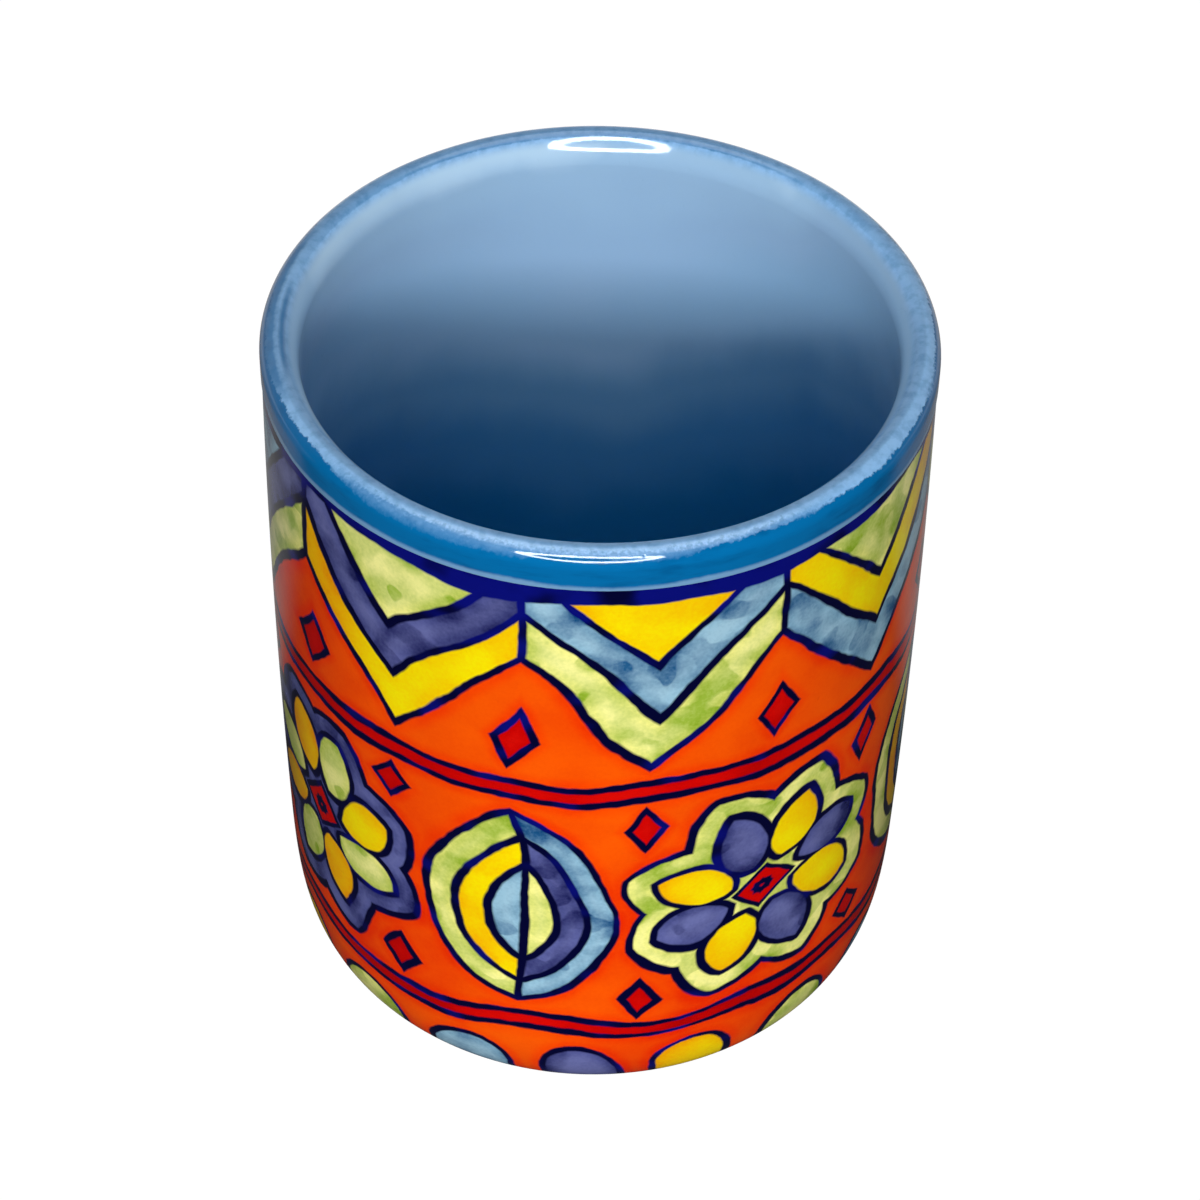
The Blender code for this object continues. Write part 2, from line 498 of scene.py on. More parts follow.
for name, (thin, thick) in PIGMENTS.items():
    wash = soft_wash if name in SMOOTH_PIGMENTS else wet_wash
    pigment[name] = blend(tree, srgb(*thin), srgb(*thick), wash)
colour = pigment["orange"]
lines = []

# Pennants hanging from the rim, each with two bands round its middle, and a gem between two
PENNANTS = 8
PENNANT_TIP = 63.6
PENNANT_JOIN = 81.0
PENNANT_BANDS = (5.6, 11.2)
PENNANT_FILLS = (
    ("green", "blue", "yellow"),
    ("blue", "yellow", "green"),
    ("green", "violet", "blue"),
    ("yellow", "violet", "green"),
)
GEM_HEIGHT = 67.6
GEM_SIZE = (2.9, 4.0)

across, number = repeat(along, girth / PENNANTS)
half_pitch = girth / PENNANTS / 2
lean = half_pitch / (PENNANT_JOIN - PENNANT_TIP)
pennant = (abs(across) - (up - PENNANT_TIP) * lean) * (1 / math.hypot(1, lean))
for turn_number, fills in enumerate(PENNANT_FILLS):
    here = every(number, len(PENNANT_FILLS), turn_number)
    for depth, name in zip((0.0, *PENNANT_BANDS), fills):
        colour = blend(tree, colour, pigment[name], inside(pennant + depth) * here)
lines += [abs(pennant + depth) for depth in (0.0, *PENNANT_BANDS)]
lines.append((abs(across) * -1.0 + half_pitch).math("MAXIMUM", pennant))
between, _ = repeat(along + half_pitch, girth / PENNANTS)
gem = diamond(between, up - GEM_HEIGHT, GEM_SIZE)
colour = blend(tree, colour, pigment["red"], inside(gem))
lines.append(abs(gem))

# Red stripes above and below the rosettes
UPPER_STRIPE = (57.7, 60.5)
LOWER_STRIPE = (12.9, 15.5)

for low, high in (UPPER_STRIPE, LOWER_STRIPE):
    stripe = band(up, low, high)
    colour = blend(tree, colour, pigment["red"], inside(stripe))
    lines.append(abs(stripe))

# Rosettes of pointed petals round a gem, with a scalloped border, and leaves between them
ROSETTES = 4
ROSETTE_HEIGHT = 36.6
PETALS = 8
PETAL_FROM = 4.4
PETAL_TO = 16.0
PETAL_HALF_WIDTH = 4.0
PETAL_BORDER = 3.5
EYE_SIZE = 4.0
ROSETTE_FILLS = (("yellow", "violet", "red", "green"), ("green", "yellow", "red", "violet"))
LEAF_HALF_LENGTH = 18.2
LEAF_HALF_WIDTH = 12.2
LEAF_BANDS = (4.0, 8.0)
LEAF_FILLS = (("green", "blue"), ("yellow", "violet"), ("blue", "green"))
SMALL_GEM_RISE = 16.2
SMALL_GEM_SIZE = (2.4, 3.0)

across, number = repeat(along, girth / ROSETTES)
rise = up - ROSETTE_HEIGHT
reach = hypotenuse(across, rise)
bearing = across.math("ARCTAN2", rise) * (PETALS / math.tau)
petal_turn = (bearing.math("FRACT") - 0.5) * (math.tau / PETALS)
petal_number = bearing.math("FLOOR")
petal = lens(
    reach * petal_turn.math("SINE"),
    reach * petal_turn.math("COSINE") - (PETAL_FROM + PETAL_TO) / 2,
    PETAL_HALF_WIDTH,
    (PETAL_TO - PETAL_FROM) / 2,
)
eye = abs(across) + abs(rise) - EYE_SIZE
border = petal - PETAL_BORDER
for turn_number, (first, second, heart, ground) in enumerate(ROSETTE_FILLS):
    here = every(number, len(ROSETTE_FILLS), turn_number)
    colour = blend(tree, colour, pigment[ground], inside(border) * here)
    for parity, name in enumerate((first, second)):
        petals_here = inside(petal) * here * every(petal_number, 2, parity)
        colour = blend(tree, colour, pigment[name], petals_here)
    colour = blend(tree, colour, pigment[heart], inside(eye) * here)
lines += [abs(petal), abs(eye), abs(border)]
across, _ = repeat(along + girth / ROSETTES / 2, girth / ROSETTES)
leaf = lens(across, rise, LEAF_HALF_WIDTH, LEAF_HALF_LENGTH)
left_half = inside(across)
for depth, (left_fill, right_fill) in zip((0.0, *LEAF_BANDS), LEAF_FILLS):
    layer = inside(leaf + depth)
    colour = blend(tree, colour, pigment[left_fill], layer * left_half)
    colour = blend(tree, colour, pigment[right_fill], layer * (left_half * -1.0 + 1.0))
    lines.append(abs(leaf + depth))
lines.append(abs(across).math("MAXIMUM", leaf))
across, _ = repeat(along, girth / ROSETTES / 2)
small_gem = diamond(across, abs(rise) - SMALL_GEM_RISE, SMALL_GEM_SIZE)
colour = blend(tree, colour, pigment["red"], inside(small_gem))
lines.append(abs(small_gem))

# Tongues standing on the foot
TONGUES = 16
TONGUE_HALF_WIDTH = 5.7
TONGUE_SHOULDER = 3.9
TONGUE_FILLS = ("violet", "yellow", "green", "blue")

across, number = repeat(along, girth / TONGUES)
dome = (up - TONGUE_SHOULDER).math("MAXIMUM", 0.0)
tongue = hypotenuse(across, dome) - TONGUE_HALF_WIDTH
for turn_number, name in enumerate(TONGUE_FILLS):
    here = every(number, len(TONGUE_FILLS), turn_number)
    colour = blend(tree, colour, pigment[name], inside(tongue) * here)
lines.append(abs(tongue))

# Colour pools along the navy outlines, and a navy line runs under the rim
POOLING = 0.4
POOL_REACH = (2.6, 0.6)
INK_HALF_WIDTH = 0.57
BRUSH_PRESS = 0.5
BRUSH_QUIVER = 0.25
NAVY_LINE_FOOT = 91.3
NAVY = (2, 4, 48)
NAVY_THIN = (8, 14, 118)
NAVY_THINS_AT = (87.0, 91.0)
NAVY_THINS_BY = 0.2
NAVY_THIN_EDGES = (0.5, 0.75)

nearest = lines[0]
for line in lines[1:]:
    nearest = nearest.math("MINIMUM", line)
pooled = tree.nodes.new("ShaderNodeGamma")
plug(tree, colour, pooled.inputs["Color"])
plug(tree, nearest.ramp(*POOL_REACH) * wash_clouds * POOLING + 1.0, pooled.inputs["Gamma"])
colour = pooled.outputs["Color"]
stroke = nearest - INK_HALF_WIDTH - press * BRUSH_PRESS - quiver * BRUSH_QUIVER
ink = inside(stroke).math("MAXIMUM", inside(up * -1.0 + NAVY_LINE_FOOT))
thinned = (wash_clouds + up.ramp(*NAVY_THINS_AT) * NAVY_THINS_BY).ramp(*NAVY_THIN_EDGES)
navy = blend(tree, srgb(*NAVY), srgb(*NAVY_THIN), thinned)
colour = blend(tree, colour, navy, ink)
plug(tree, colour, shader.inputs["Base Color"])
glazed(tree, shader, place, depth=0.12, gloss=0.08, dull=0.16)
put_on(painted_wall, painted, "painted_coat")

# Liner
# Blue glaze poured into the pot, swilled and tipped out. It runs down and pools, so it fires pale
# near the lip and deep blue in the cove and on the floor. The colour also carries painted shade,
# darker with depth and up the two sides where the near rim's shadow falls, and painted light on the
# lip.
LINER_TOP = 90.4
LIP_INSIDE = 2.63
# Tones by height from the floor up: the darkening with depth is partly glaze pooling and partly
# painted shade of the near rim's shadow, and the palest top tone is partly painted light on the lip
LINER_FLOOR_SHADE = (4, 86, 146)
LINER_SHADES = (
    (30.0, (22, 114, 173)),
    (44.0, (64, 132, 188)),
    (53.0, (98, 153, 198)),
    (64.0, (145, 188, 224)),
    (80.0, (157, 194, 229)),
    (92.5, (165, 203, 236)),
    (97.0, (189, 223, 250)),
)
# Painted shade: the tone drops towards both sides and more to the right, held off near the lip across
# the middle, with a darker patch near the lip right of middle
SIDE_SHADE_RISE = 0.7
RIGHT_SHADE_RISE = 0.1
MIDDLE_WIDTH = 8.0
LIT_LIP_HEIGHT = (84.0, 95.0)
LIT_LIP_LEFT = 5.5
LIT_LIP_REACH = (35.0, 28.5)
RIGHT_LIP_SHADE_HEIGHT = (88.0, 94.0)
RIGHT_LIP_SHADE_AT = 11.0
RIGHT_LIP_SHADE_REACH = (18.0, 3.0)
RIGHT_LIP_SHADE = 6.0
LINER_RUN_SIZE = (5.0, 40.0)
LINER_RUNS = 2.4
LINER_CLOUD_SIZE = 12.0
LINER_CLOUDS = 6.0
LINER_GLOSS = 0.19
LINER_DULL = 0.26


def inner_radius(height, cover):
    """Radius of the clay's inside wall, less what covers it."""
    share = (height - floor_height) / (lip_height - floor_height)
    return inner_at_floor + (inner_at_lip - inner_at_floor) * share - cover


def liner_wash_group():
    """The liner's colour: pale where thin near the lip, deep where thick, plus painted shade low and
    at the sides.
    """
    group = bpy.data.node_groups.new("liner_wash", "ShaderNodeTree")
    group.interface.new_socket("Place", in_out="INPUT", socket_type="NodeSocketVector")
    group.interface.new_socket("Color", in_out="OUTPUT", socket_type="NodeSocketColor")
    start = group.nodes.new("NodeGroupInput")
    end = group.nodes.new("NodeGroupOutput")
    place = start.outputs["Place"]
    axes = group.nodes.new("ShaderNodeSeparateXYZ")
    group.links.new(place, axes.inputs[0])
    runs = noise(group, stretched(group, place, *LINER_RUN_SIZE), 1.0, 2.0)
    clouds = noise(group, place, LINER_CLOUD_SIZE, 1.0)
    right, back, height = (Field(group, output) for output in axes.outputs)
    # Painted shade: how far the tone is pushed down towards the sides, the right, and a patch near
    # the lip
    aside = (right * right + MIDDLE_WIDTH**2).math("SQRT") - MIDDLE_WIDTH
    lit_lip = height.ramp(*LIT_LIP_HEIGHT) * abs(right + LIT_LIP_LEFT).ramp(*LIT_LIP_REACH)
    right_lip_shade = height.ramp(*RIGHT_LIP_SHADE_HEIGHT) * abs(right - RIGHT_LIP_SHADE_AT).ramp(*RIGHT_LIP_SHADE_REACH)
    painted_shade_drop = (aside * SIDE_SHADE_RISE + right * RIGHT_SHADE_RISE) * (lit_lip * -1.0 + 1.0)
    painted_shade_drop = painted_shade_drop + right_lip_shade * RIGHT_LIP_SHADE
    level = height - painted_shade_drop + (runs - 0.5) * LINER_RUNS + (clouds - 0.5) * LINER_CLOUDS
    colour = srgb(*LINER_FLOOR_SHADE)
    below = floor_height
    for top, shade in LINER_SHADES:
        colour = blend(group, colour, srgb(*shade), level.ramp(below, top))
        below = top
    plug(group, colour, end.inputs["Color"])
    return group


def liner_colour(tree, place):
    """Places the liner's colour in a material."""
    wash = tree.nodes.new("ShaderNodeGroup")
    wash.node_tree = liner_wash
    tree.links.new(place, wash.inputs["Place"])
    return wash.outputs["Color"]


liner_face = SEAT_GAP + LINER_COAT
liner_profile = [
    (0.0, floor_height + SEAT_GAP),
    (inner_radius(floor_height, SEAT_GAP), floor_height + SEAT_GAP),
    (inner_radius(LINER_TOP, SEAT_GAP), LINER_TOP),
    (lip_radius - LIP_INSIDE, LINER_TOP),
    (inner_radius(floor_height, liner_face), floor_height + liner_face),
    (0.0, floor_height + liner_face),
]
liner_rounds = {1: COVE_RADIUS, 4: COVE_RADIUS}
liner = turned("liner", liner_profile, liner_rounds, closed=False)

liner_wash = liner_wash_group()
liner_glaze, tree, shader, place = surface("liner_blue_glaze", roughness=0.22, specular=0.45)
plug(tree, liner_colour(tree, place), shader.inputs["Base Color"])
glazed(tree, shader, place, depth=0.1, gloss=LINER_GLOSS, dull=LINER_DULL)
put_on(liner, liner_glaze, "inner_glaze")

# Rim bead
# Thick teal glaze banded on over the lip after the wall, a touch proud of the frieze below it.
# The pale liner glaze laps out over the crest and breaks into the teal in a ragged edge.
BEAD_DEPTH = 5.1
BEAD_EDGE = 0.2
SKIRT_DEPTH = 8.0
SKIRT_FEATHER = 0.05
LIP_BEVEL = ((0.551, 0.0, 0.545), (1.755, 1.122, 1.085), (2.651, 2.959, 0.945))
TEAL = (1, 110, 173)
TEAL_DEEP = (0, 86, 142)
RIM_PALE = (152, 204, 252)
# The next colour is a painted reflection along the bead's foot
BEAD_FOOT_REFLECTION = (132, 176, 214)
TEAL_BRUSH_SIZE = (6.0, 1.2)
STREAK_SIZE = (0.6, 60.0)
RAGGED_SIZE = 1.1
WANDER_SIZE = 14.0
MOTTLE_SIZE = 1.5
RIM_GRAIN_SIZE = 0.45
INNER_SIDE = (0.9, 1.9)

bead_foot = HEIGHT - BEAD_DEPTH
bead_face = lip_radius + lip_round
skirt_foot = HEIGHT - SKIRT_DEPTH
# The lip's inner bevel: how far in from its middle, how far down, and what is cut off each corner
lip_corners = [(lip_radius - inward, HEIGHT - down) for inward, down, _ in LIP_BEVEL]
rim_profile = [
    (wall_radius(bead_foot) - PAINTED_COAT / 2, bead_foot),
    (bead_face, bead_foot),
    (bead_face, HEIGHT),
    *lip_corners,
    (lip_radius - LIP_INSIDE - SKIRT_FEATHER, skirt_foot),
    (lip_radius - LIP_INSIDE + SKIRT_FEATHER, skirt_foot),
    (lip_radius - CLAY_LIP / 2 - SEAT_GAP, lip_top + SEAT_GAP),
    (lip_radius + CLAY_LIP / 2 + SEAT_GAP, lip_top + SEAT_GAP),
]
clay_round = CLAY_LIP / 2 + SEAT_GAP
rim_rounds = {1: BEAD_EDGE, 2: lip_round, 8: clay_round, 9: clay_round}
for corner, (_, _, cut) in enumerate(LIP_BEVEL, start=3):
    rim_rounds[corner] = cut
rim_bead = turned("rim_bead", rim_profile, rim_rounds, closed=True)

rim_glaze, tree, shader, place = surface("rim_blue_glaze", roughness=0.08, specular=0.45)
axes = tree.nodes.new("ShaderNodeSeparateXYZ")
tree.links.new(place, axes.inputs[0])
right, back, height = (Field(tree, output) for output in axes.outputs)
out = hypotenuse(right, back) - lip_radius
slant = (height - lip_height).math("ARCTAN2", out) * (180 / math.pi)
bearing = right.math("ARCTAN2", back * -1.0) * (180 / math.pi)
inner_side = (out * -1.0).ramp(*INNER_SIDE)
brushed = noise(tree, stretched(tree, place, *TEAL_BRUSH_SIZE), 1.0, 3.0, 0.6)
ragged = noise(tree, place, RAGGED_SIZE, 3.0, 0.6)
wander = noise(tree, place, WANDER_SIZE, 1.0)
mottle = noise(tree, place, MOTTLE_SIZE, 3.0, 0.6)
grain = noise(tree, place, RIM_GRAIN_SIZE, 1.0)
streaks = noise(tree, stretched(tree, place, *STREAK_SIZE), 1.0, 2.0, 0.6)

# The lap's edge wanders, sharp in places and in others a long fade, with two lobes run further down
LAP_ANGLE = 52.0
LAP_SOFTNESS = (6.0, 34.0)
LAP_FADES_AT = (0.5, 0.7)
LAP_WANDER = 50.0
LAP_RAGGED = 24.0
LAP_STREAKS = 5.0
LAP_GRAIN = 16.0
LOBE_BEARING = -30.0
LOBE_WIDTH = (24.0, 8.0)
LOBE_RUN = 14.0
SIDE_LOBE_BEARING = 60.0
SIDE_LOBE_WIDTH = (20.0, 6.0)
SIDE_LOBE_RUN = 9.0

lobe = abs(bearing - LOBE_BEARING).ramp(*LOBE_WIDTH)
side_lobe = abs(bearing - SIDE_LOBE_BEARING).ramp(*SIDE_LOBE_WIDTH)
sharp, faded = LAP_SOFTNESS
fade = (lobe + wander.ramp(*LAP_FADES_AT)).math("MINIMUM", 1.0) * (faded - sharp) + sharp
lap = slant + (wander - 0.5) * LAP_WANDER + (ragged - 0.5) * LAP_RAGGED
lap = lap + (streaks - 0.5) * LAP_STREAKS + (grain - 0.5) * LAP_GRAIN
lap = lap + lobe * LOBE_RUN + side_lobe * SIDE_LOBE_RUN
pale_share = ((lap - LAP_ANGLE) / fade).math("ADD", 0.5, clamp=True)

# In front it is thin below the crest, so that the teal shows through
THIN_LAP_BEARING = -5.0
THIN_LAP_WIDTH = (52.0, 34.0)
THIN_LAP_SLANT = (76.0, 56.0)
THIN_LAP_MOTTLE = 36.0
THIN_LAP_GRAIN = 40.0
THIN_LAP = 0.58

in_front = abs(bearing - THIN_LAP_BEARING).ramp(*THIN_LAP_WIDTH)
speckled_slant = slant + (mottle - 0.5) * THIN_LAP_MOTTLE + (grain - 0.5) * THIN_LAP_GRAIN
see_through = in_front * speckled_slant.ramp(*THIN_LAP_SLANT)
pale_share = pale_share * (see_through * -THIN_LAP + 1.0)

# At the back the outer half of the crest stays half teal, and on one side it is worn to teal
SLANT_RAGGED = 14.0
FAR_BACK = (2.0, 24.0)
FAR_SLANT = (123.0, 115.0)
FAR_RIGHT = (14.0, 28.0)
FAR_RIGHT_LESS = 0.5
FAR_TEAL = 0.38
DEEP_BACK = (28.0, 36.0)
DEEP_SLANT = (90.0, 112.0)
DEEP_TEAL = 0.3
WORN_BEARING = -92.0
WORN_WIDTH = (27.0, 17.0)
WORN_SLANT = (92.0, 74.0)
CREASE_BEARING = -87.0
CREASE_LENGTH = (16.0, 7.0)
CREASE_INSIDE = 0.62
CREASE_HALF_WIDTH = 0.3
CREASE_SOFTNESS = 0.4
WORN_TEAL = 0.78

ragged_slant = slant + (ragged - 0.5) * SLANT_RAGGED
far_outer = back.ramp(*FAR_BACK) * ragged_slant.ramp(*FAR_SLANT)
far_outer = far_outer * (right.ramp(*FAR_RIGHT) * -FAR_RIGHT_LESS + 1.0)
deeper = back.ramp(*DEEP_BACK) * ragged_slant.ramp(*DEEP_SLANT)
pale_share = pale_share * (far_outer * (deeper * -DEEP_TEAL - FAR_TEAL) + 1.0)
outer_side = inner_side * -1.0 + 1.0
worn = abs(bearing - WORN_BEARING).ramp(*WORN_WIDTH) * ragged_slant.ramp(*WORN_SLANT) * outer_side
crease = inside(abs(out + CREASE_INSIDE) - CREASE_HALF_WIDTH, CREASE_SOFTNESS)
crease = crease * abs(bearing - CREASE_BEARING).ramp(*CREASE_LENGTH)
worn_off = worn.math("MAXIMUM", crease) * -WORN_TEAL + 1.0
pale_share = pale_share.math("MAXIMUM", inner_side) * worn_off

# The teal lies in brush strokes and the lap is mottled with it. A pale line of painted reflection
# runs along the bead's foot, and painted shade darkens the pale where the near crest turns in.
STROKE_SHADE_EDGES = (0.46, 0.8)
STROKE_SHADE = 0.7
MOTTLE_EDGES = (0.38, 0.72)
MOTTLE_SHARE = 0.32
STREAK_EDGES = (0.42, 0.8)
STREAK_SHARE = 0.08
CREST_SLANT = (78.0, 90.0)
CREST_BACK = (12.0, -4.0)
CREST_PAINTED_SHADE = 0.27
FOOT_WANDER = 1.6
FOOT_RAGGED = 0.3
FOOT_REFLECTION_BEARING = -62.0
FOOT_REFLECTION_WIDTH = (45.0, 20.0)
FOOT_REFLECTION_RISE = 0.35
FOOT_REFLECTION_EDGE = (-1.0, -0.4)
FOOT_REFLECTION_SHARE = 0.8

strokes = brushed.ramp(*STROKE_SHADE_EDGES) * STROKE_SHADE
teal = blend(tree, srgb(*TEAL), srgb(*TEAL_DEEP), strokes)
speckle = mottle.ramp(*MOTTLE_EDGES) * MOTTLE_SHARE + streaks.ramp(*STREAK_EDGES) * STREAK_SHARE
pale = blend(tree, srgb(*RIM_PALE), srgb(*TEAL), speckle)
# Painted shade: the pale is darkened where the near crest turns in, away from the light
crest_shade_mask = slant.ramp(*CREST_SLANT) * back.ramp(*CREST_BACK)
pale = blend(tree, pale, srgb(*TEAL_DEEP), crest_shade_mask * CREST_PAINTED_SHADE)
pale = blend(tree, pale, liner_colour(tree, place), inner_side)
# A painted reflection: a pale line along the bead's foot, rising further on the left
foot_reflection_wide = abs(bearing - FOOT_REFLECTION_BEARING).ramp(*FOOT_REFLECTION_WIDTH)
reflection_line = (height * -1.0 + bead_foot) + (wander - 0.5) * FOOT_WANDER + (ragged - 0.5) * FOOT_RAGGED
reflection_line = reflection_line + foot_reflection_wide * FOOT_REFLECTION_RISE
teal = blend(tree, teal, srgb(*BEAD_FOOT_REFLECTION), reflection_line.ramp(*FOOT_REFLECTION_EDGE) * FOOT_REFLECTION_SHARE)
plug(tree, blend(tree, teal, pale, pale_share), shader.inputs["Base Color"])

# Down the inside the bead's gloss gives way to the liner's
GLOSS_DEPTH = (2.8, 4.4)
BEAD_GLOSS = 0.05
BEAD_DULL = 0.1

inward = (height * -1.0 + HEIGHT).ramp(*GLOSS_DEPTH)
gloss = inward * (LINER_GLOSS - BEAD_GLOSS) + BEAD_GLOSS
dull = inward * (LINER_DULL - BEAD_DULL) + BEAD_DULL
glazed(tree, shader, place, depth=0.1, gloss=gloss, dull=dull)
put_on(rim_bead, rim_glaze, "rim_glaze")

# Base glaze
# The clear glaze inside the foot ring, over pale clay. It is left on when the ring is wiped, and
# fires a little browner where it pools.
BASE_PALE = (232, 224, 206)
BASE_POOL = (206, 192, 164)
BASE_EDGE = 0.12
BASE_POOL_EDGES = (0.35, 0.75)

base_top = RECESS_DEPTH - SEAT_GAP
base_bottom = base_top - BASE_COAT
base_edge = recess_inner - SEAT_GAP
base_profile = [
    (0.0, base_top),
    (base_edge, base_top),
    (base_edge + RECESS_DRAFT * BASE_COAT / RECESS_DEPTH, base_bottom),
    (0.0, base_bottom),
]
base_disc = turned("base_disc", base_profile, {1: BASE_EDGE, 2: BASE_EDGE}, closed=False)

base_glaze, tree, shader, place = surface("clear_glaze", roughness=0.15, specular=0.5)
pooled = noise(tree, place, size=8.0, detail=3.0)
colour = blend(tree, srgb(*BASE_PALE), srgb(*BASE_POOL), pooled.ramp(*BASE_POOL_EDGES))
plug(tree, colour, shader.inputs["Base Color"])
glazed(tree, shader, place, depth=0.12, gloss=0.08, dull=0.2)
put_on(base_disc, base_glaze, "base_glaze")

# Camera
# It stands where the photograph was taken from, a little off level.
LENS = 106.87
SENSOR = 36.0
CAMERA_DISTANCE = 0.4605
CAMERA_ELEVATION = math.radians(44.199)
CAMERA_ROLL = math.radians(-1.1235)
CAMERA_TARGET = Vector((0.000566, 0.0, 0.051743))

camera_data = bpy.data.cameras.new("camera")
camera_data.lens = LENS
camera_data.sensor_width = SENSOR
camera = bpy.data.objects.new("camera", camera_data)
bpy.context.scene.collection.objects.link(camera)
forward = Vector((0.0, math.cos(CAMERA_ELEVATION), -math.sin(CAMERA_ELEVATION)))
level_right = Vector((1.0, 0.0, 0.0))
level_up = level_right.cross(forward)
camera_right = math.cos(CAMERA_ROLL) * level_right - math.sin(CAMERA_ROLL) * level_up
camera_up = math.sin(CAMERA_ROLL) * level_right + math.cos(CAMERA_ROLL) * level_up
turn_camera = Matrix((camera_right, camera_up, -forward)).transposed().to_4x4()
camera_place = CAMERA_TARGET - forward * CAMERA_DISTANCE
camera.matrix_world = Matrix.Translation(camera_place) @ turn_camera
bpy.context.scene.camera = camera

# Studio
# A white floor, softboxes low in front, above that and low behind, dim pale walls, a panel overhead
# and a ring light round the lens. The panel and the ring are what the glaze reflects on the lip.
FLOOR_RADIUS = 1.6
FLOOR_STEPS = 96
FLOOR_DROP = 0.00005
FLOOR_COLOUR = (0.12, 0.12, 0.12, 1.0)
FLOOR_ROUGHNESS = 0.9
FLOOR_SHOWN = 0.92
FLOOR_WHITE = 1.1
FLOOR_IN_GLAZE = (0.03, 0.2, 0.57)
FLOOR_STEP_AT = (20.0, 45.0)
FLOOR_RISE_AT = (90.0, 260.0)
RING_OUTER = 0.145
RING_HOLE = (0.74, 0.46)
RING_SHIFT = -0.014
RING_STEPS = 96
RING_STRENGTH = 26.0
KEY_SIZE = (0.27, 0.27)
KEY_WATTS = 8.2
KEY_DISTANCE = 0.92
KEY_ELEVATION = math.radians(27.7)
TOP_SIZE = (0.4, 0.4)
TOP_WATTS = 1.5
TOP_DISTANCE = 0.6
TOP_ELEVATION = math.radians(55)
FRONT_BEARING = math.radians(1)
REAR_SIZE = (1.0, 0.28)
REAR_WATTS = 6.0
REAR_DISTANCE = 0.9
REAR_ELEVATION = math.radians(9)
REAR_BEARING = math.radians(180)
WORLD_FILL = 0.12
WALL_IN_GLAZE = 0.5
WALL_FROM = (0.0, 0.6)
FRONT_IN_GLAZE = 0.03
PANEL_IN_GLAZE = 3.2
PANEL_FROM = (0.84, 0.95)


def softbox(name, size, watts, distance, elevation, bearing):
    """A softbox that lights the mug without showing in its glaze. The bearing is left of front."""
    data = bpy.data.lights.new(name, "AREA")
    data.shape = "RECTANGLE"
    data.size, data.size_y = size
    data.energy = watts
    lamp = bpy.data.objects.new(name, data)
    ahead = Vector((-math.sin(bearing), -math.cos(bearing), 0.0))
    place = (ahead * math.cos(elevation) + Vector((0.0, 0.0, math.sin(elevation)))) * distance
    facing = (Vector((0.0, 0.0, HEIGHT / 2 * MM)) - place).to_track_quat("-Z", "Y")
    lamp.matrix_world = Matrix.Translation(place) @ facing.to_matrix().to_4x4()
    lamp.visible_glossy = False
    bpy.context.scene.collection.objects.link(lamp)


def emitter(name, strength):
    """A material that gives off plain white light."""
    material = bpy.data.materials.new(name)
    material.use_nodes = True
    nodes = material.node_tree.nodes
    nodes.remove(nodes["Principled BSDF"])
    light = nodes.new("ShaderNodeEmission")
    light.inputs["Strength"].default_value = strength
    material.node_tree.links.new(light.outputs[0], nodes["Material Output"].inputs["Surface"])
    return material


bm = bmesh.new()
bmesh.ops.create_circle(bm, cap_ends=True, segments=FLOOR_STEPS, radius=FLOOR_RADIUS)
bmesh.ops.translate(bm, vec=(0.0, 0.0, -FLOOR_DROP), verts=bm.verts)
floor_mesh = bpy.data.meshes.new("floor")
bm.to_mesh(floor_mesh)
bm.free()
floor = bpy.data.objects.new("floor", floor_mesh)
bpy.context.scene.collection.objects.link(floor)

# The camera sees the floor white, and the glaze mirrors it dark in front and paler towards the back
floor_finish = bpy.data.materials.new("white_floor")
floor_finish.use_nodes = True
tree = floor_finish.node_tree
shader = tree.nodes["Principled BSDF"]
shader.inputs["Base Color"].default_value = FLOOR_COLOUR
shader.inputs["Roughness"].default_value = FLOOR_ROUGHNESS
shader.inputs["Specular IOR Level"].default_value = 0.0
axes = tree.nodes.new("ShaderNodeSeparateXYZ")
tree.links.new(place_in_mm(tree), axes.inputs[0])
away = Field(tree, axes.outputs[1])
front_shade, step, rise = FLOOR_IN_GLAZE
paths = tree.nodes.new("ShaderNodeLightPath")
seen = Field(tree, paths.outputs["Is Camera Ray"]) + Field(tree, paths.outputs["Is Transmission Ray"])
mirrored = Field(tree, paths.outputs["Is Glossy Ray"])
white = tree.nodes.new("ShaderNodeEmission")
shade = away.ramp(*FLOOR_STEP_AT) * step + away.ramp(*FLOOR_RISE_AT) * rise + front_shade
plug(tree, seen * FLOOR_WHITE + mirrored * shade, white.inputs["Strength"])
cover = tree.nodes.new("ShaderNodeMixShader")
plug(tree, seen * FLOOR_SHOWN + mirrored, cover.inputs[0])
tree.links.new(shader.outputs[0], cover.inputs[1])
tree.links.new(white.outputs[0], cover.inputs[2])
tree.links.new(cover.outputs[0], tree.nodes["Material Output"].inputs["Surface"])
floor_mesh.materials.append(floor_finish)

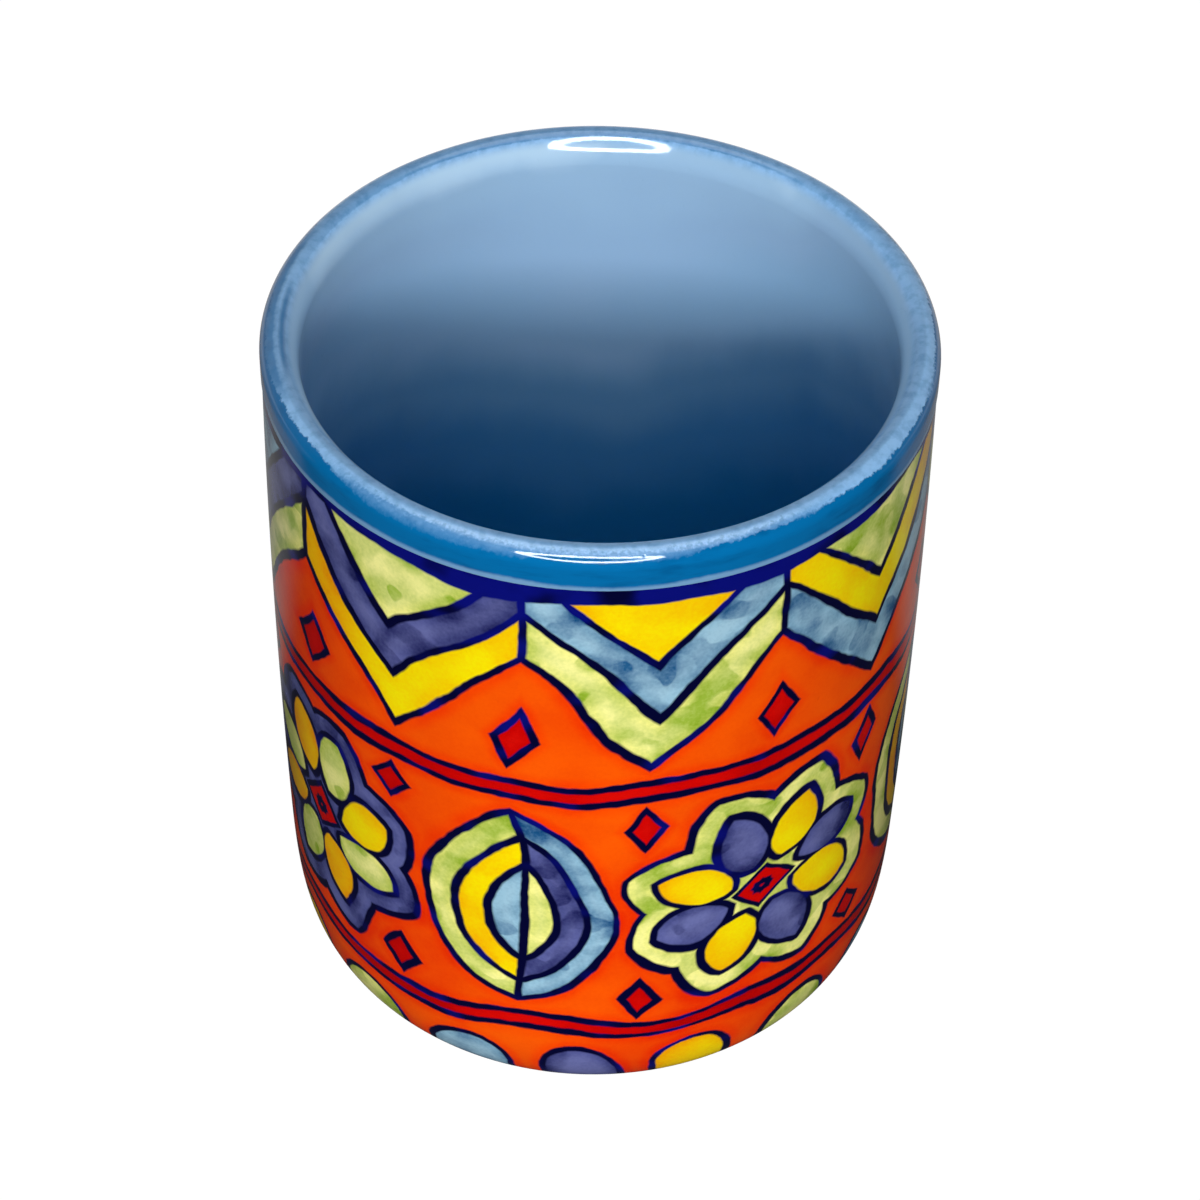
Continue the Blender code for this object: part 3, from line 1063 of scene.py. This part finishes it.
bm = bmesh.new()
bmesh.ops.create_circle(bm, cap_ends=False, segments=RING_STEPS, radius=RING_OUTER)
inward = bmesh.ops.extrude_edge_only(bm, edges=bm.edges[:])
inner_verts = [part for part in inward["geom"] if isinstance(part, bmesh.types.BMVert)]
bmesh.ops.scale(bm, vec=(*RING_HOLE, 1.0), verts=inner_verts)
ring_place = camera.matrix_world @ Matrix.Translation((RING_SHIFT, 0.0, 0.0))
bmesh.ops.transform(bm, matrix=ring_place, verts=bm.verts)
ring_mesh = bpy.data.meshes.new("ring_light")
bm.to_mesh(ring_mesh)
bm.free()
ring_mesh.materials.append(emitter("ring_glow", RING_STRENGTH))
ring = bpy.data.objects.new("ring_light", ring_mesh)
bpy.context.scene.collection.objects.link(ring)
ring.visible_camera = False
ring.visible_diffuse = False

softbox("front_softbox", KEY_SIZE, KEY_WATTS, KEY_DISTANCE, KEY_ELEVATION, FRONT_BEARING)
softbox("top_softbox", TOP_SIZE, TOP_WATTS, TOP_DISTANCE, TOP_ELEVATION, FRONT_BEARING)
softbox("rear_softbox", REAR_SIZE, REAR_WATTS, REAR_DISTANCE, REAR_ELEVATION, REAR_BEARING)

world = bpy.data.worlds.new("studio")
bpy.context.scene.world = world
world.use_nodes = True
tree = world.node_tree
backdrop = tree.nodes["Background"]
backdrop.inputs["Color"].default_value = (1.0, 1.0, 1.0, 1.0)
paths = tree.nodes.new("ShaderNodeLightPath")
gaze = tree.nodes.new("ShaderNodeTexCoord")
towards = tree.nodes.new("ShaderNodeSeparateXYZ")
tree.links.new(gaze.outputs["Generated"], towards.inputs[0])
walls = Field(tree, towards.outputs[1]).ramp(*WALL_FROM) * WALL_IN_GLAZE + FRONT_IN_GLAZE
panel = Field(tree, towards.outputs[2]).ramp(*PANEL_FROM) * PANEL_IN_GLAZE
seen = Field(tree, paths.outputs["Is Camera Ray"]) + Field(tree, paths.outputs["Is Transmission Ray"])
mirrored = (walls + panel) * Field(tree, paths.outputs["Is Glossy Ray"])
fill = Field(tree, paths.outputs["Is Diffuse Ray"]) * WORLD_FILL
plug(tree, seen + mirrored + fill, backdrop.inputs["Strength"])

bpy.context.scene.view_settings.view_transform = "Standard"
